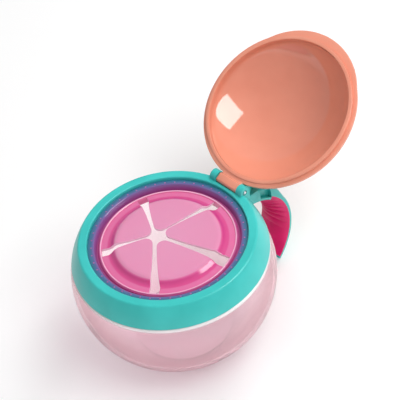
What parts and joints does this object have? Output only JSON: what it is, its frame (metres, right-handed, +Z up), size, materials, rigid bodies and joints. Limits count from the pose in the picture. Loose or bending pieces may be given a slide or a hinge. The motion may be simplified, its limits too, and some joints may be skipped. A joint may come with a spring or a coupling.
{
  "type": "toddler snack container",
  "caption": "Round snack bowl with a turn-on collar, a star of soft flaps over the mouth, a ribbed hook handle and a domed lid that swings back.",
  "frame": {"origin": "centre of the bowl's flat foot, on the surface it stands on", "axes": "+Z up along the bowl's axis, +Y from the bowl towards the lid hinge and the handle"},
  "size_m": [0.0968, 0.1648, 0.1022],
  "materials": {
    "bowl_plastic": "clear moulded, pale pink tint",
    "collar_plastic": "fine satin moulded",
    "grip_rubber": "soft overmoulded, ribbed",
    "flap_rubber": "soft, translucent, smooth",
    "lid_plastic": "smooth moulded",
    "pin_steel": "drawn wire"
  },
  "bodies": {
    "bowl": {"bowl": "bowl_plastic"},
    "collar": {"collar": "collar_plastic", "handle": "collar_plastic", "grip": "grip_rubber", "flap_ring": "flap_rubber", "hinge_pin": "pin_steel"},
    "lid": {"lid": "lid_plastic"},
    "flap_1": {"flap_1": "flap_rubber"},
    "flap_2": {"flap_2": "flap_rubber"},
    "flap_3": {"flap_3": "flap_rubber"},
    "flap_4": {"flap_4": "flap_rubber"},
    "flap_5": {"flap_5": "flap_rubber"}
  },
  "joints": [
    {"name": "collar_turn", "type": "hinge", "parent": "bowl", "child": "collar", "pos_m": [0, 0, 0.053], "axis": [0, 0, 1], "range_deg": [0, 45]},
    {"name": "lid_hinge", "type": "hinge", "parent": "collar", "child": "lid", "pos_m": [0, 0.0416, 0.0645], "axis": [1, 0, 0], "range_deg": [0, 153.5]},
    {"name": "flap_1_bend", "type": "hinge", "parent": "collar", "child": "flap_1", "pos_m": [0.01284, 0.01585, 0.0621], "axis": [0.7771, -0.6293, 0], "range_deg": [-35, 65], "stiffness_Nm_per_rad": 0.003},
    {"name": "flap_2_bend", "type": "hinge", "parent": "collar", "child": "flap_2", "pos_m": [-0.01111, 0.01711, 0.0621], "axis": [0.8387, 0.5446, 0], "range_deg": [-35, 65], "stiffness_Nm_per_rad": 0.003},
    {"name": "flap_3_bend", "type": "hinge", "parent": "collar", "child": "flap_3", "pos_m": [-0.0197, -0.00528, 0.0621], "axis": [-0.2588, 0.9659, 0], "range_deg": [-35, 65], "stiffness_Nm_per_rad": 0.003},
    {"name": "flap_4_bend", "type": "hinge", "parent": "collar", "child": "flap_4", "pos_m": [-0.00107, -0.02037, 0.0621], "axis": [-0.9986, 0.0523, 0], "range_deg": [-35, 65], "stiffness_Nm_per_rad": 0.003},
    {"name": "flap_5_bend", "type": "hinge", "parent": "collar", "child": "flap_5", "pos_m": [0.01904, -0.00731, 0.0621], "axis": [-0.3584, -0.9336, 0], "range_deg": [-35, 65], "stiffness_Nm_per_rad": 0.003}
  ]
}
